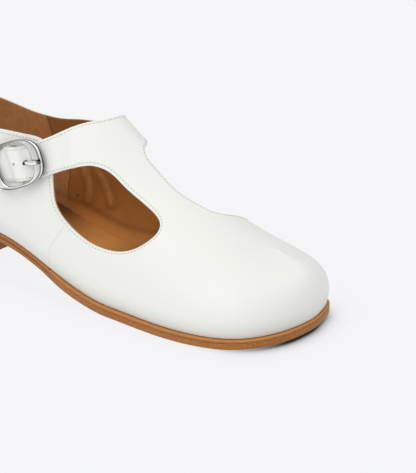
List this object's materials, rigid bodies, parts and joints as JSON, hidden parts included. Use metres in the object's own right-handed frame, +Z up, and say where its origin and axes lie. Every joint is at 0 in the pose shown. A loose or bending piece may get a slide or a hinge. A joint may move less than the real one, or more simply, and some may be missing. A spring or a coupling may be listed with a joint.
{
  "type": "t strap shoe",
  "caption": "Flat closed leather shoe for the right foot with a T strap, a cut-out on each side, an ankle strap with an oval buckle, and a low stacked heel.",
  "frame": {"origin": "centre of the shoe's length and width, on the floor it stands on", "axes": "+X from the heel to the toe, +Y to the inner side of the foot, +Z up"},
  "size_m": [0.2528, 0.0828, 0.0908],
  "materials": {
    "outsole": "trimmed and waxed sole leather",
    "welt": "smooth tan leather strip",
    "heel_lifts": "stacked leather, waxed edge",
    "heel_top_piece": "matte tan-brown rubber",
    "insole": "smooth tan leather",
    "upper": "smooth white leather with a soft gloss",
    "buckle_frame": "polished",
    "buckle_prong": "polished",
    "buckle_stay": "smooth white leather"
  },
  "bodies": {
    "root": {"outsole": "outsole", "welt": "welt", "heel_lifts": "heel_lifts", "heel_top_piece": "heel_top_piece", "insole": "insole", "upper": "upper", "buckle_frame": "buckle_frame", "buckle_prong": "buckle_prong", "buckle_stay": "buckle_stay"}
  },
  "joints": []
}
